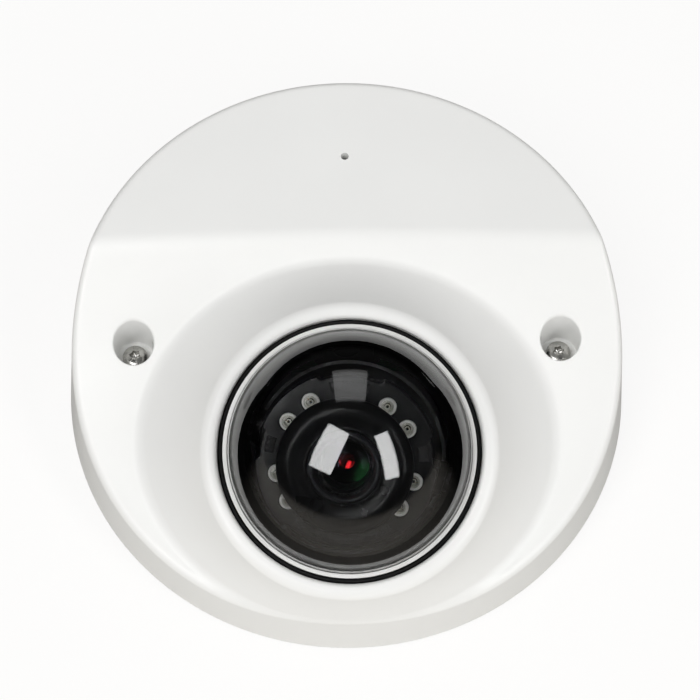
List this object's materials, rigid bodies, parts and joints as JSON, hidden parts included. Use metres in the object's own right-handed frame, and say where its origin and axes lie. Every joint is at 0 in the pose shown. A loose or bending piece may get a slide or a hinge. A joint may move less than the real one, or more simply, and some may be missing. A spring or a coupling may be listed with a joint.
{
  "type": "dome cctv camera",
  "caption": "Compact wedge dome camera: scooped round cover with a raised tilted neck, clear dome, three-axis lens unit with infrared LEDs, and a base with bolt holes and a cable outlet.",
  "frame": {"origin": "centre of the round base at the mounting surface (bottom centre of the bounding box)", "axes": "+Z out of the mounting surface, +Y from the dome towards the microphone end, +X across"},
  "size_m": [0.1059, 0.106, 0.0502],
  "materials": {
    "white_paint": "satin white powder coat",
    "grey_casting": "cast",
    "rubber_black": "matte",
    "clear_dome": "clear moulded polycarbonate",
    "white_plastic": "satin",
    "black_plastic": "fine texture",
    "gloss_black": "gloss",
    "steel": "plain",
    "board_green": "solder mask",
    "chip_black": "moulded",
    "black_metal": "black anodised",
    "lens_glass": "coated",
    "led_silver": "bright",
    "sink_aluminium": "plain",
    "can_aluminium": "plain",
    "filter_glass": "coated"
  },
  "bodies": {
    "base": {"base_housing": "grey_casting", "base_seal": "rubber_black", "cable_grommet": "rubber_black", "main_board": "board_green", "board_screws": "steel", "processor": "chip_black", "heat_spreader": "sink_aluminium", "memory_chips": "chip_black", "ethernet_transformer": "chip_black", "capacitors": "can_aluminium", "cable_header": "white_plastic", "lens_connector": "white_plastic", "memory_card_slot": "steel", "reset_switch": "chip_black", "gimbal_seat": "black_metal", "seat_screws": "steel", "pan_retainer": "black_plastic", "inner_liner": "black_plastic"},
    "button": {"reset_button": "white_plastic"},
    "yoke": {"pan_yoke": "black_metal"},
    "tilt": {"tilt_frame": "black_plastic", "tilt_pins": "steel"},
    "lens": {"lens_cradle": "black_plastic", "cradle_clip": "black_plastic", "led_board": "board_green", "ir_leds": "led_silver", "led_bezel": "black_plastic", "lens_hood": "gloss_black", "lens_barrel": "black_metal", "lens_front_ring": "black_metal", "front_lens": "lens_glass", "rear_lenses": "lens_glass", "lens_mount": "black_plastic", "ir_cut_filter": "filter_glass", "sensor_board": "board_green", "image_sensor": "chip_black"},
    "cover": {"wedge_cover": "white_paint", "cover_screws": "steel", "screw_retainers": "rubber_black", "dome_bubble": "clear_dome", "dome_trim_ring": "white_plastic", "dome_seal": "rubber_black", "dome_gasket": "rubber_black", "dome_clamp_ring": "black_metal", "clamp_screws": "steel", "mic_boot": "rubber_black", "microphone": "can_aluminium"}
  },
  "joints": [
    {"name": "cover_lift", "type": "slide", "parent": "base", "child": "cover", "axis": [0, 0, 1], "range_m": [0, 0.06]},
    {"name": "pan", "type": "hinge", "parent": "base", "child": "yoke", "pos_m": [0, -0.0252, 0.028], "axis": [0, -0.342, 0.9397], "range_deg": [-13, 47]},
    {"name": "tilt", "type": "hinge", "parent": "yoke", "child": "tilt", "pos_m": [0, -0.0252, 0.028], "axis": [0.9563, -0.2747, -0.1], "range_deg": [-35.5, 44.5]},
    {"name": "lens_rotate", "type": "hinge", "parent": "tilt", "child": "lens", "pos_m": [0, -0.0252, 0.028], "axis": [-0.0781, -0.5697, 0.8181], "range_deg": [-177.5, 177.5]},
    {"name": "reset_press", "type": "slide", "parent": "base", "child": "button", "axis": [0, 0, -1], "range_m": [0, 0.0004], "stiffness_N_per_m": 2000, "springref_m": -0.0002}
  ]
}
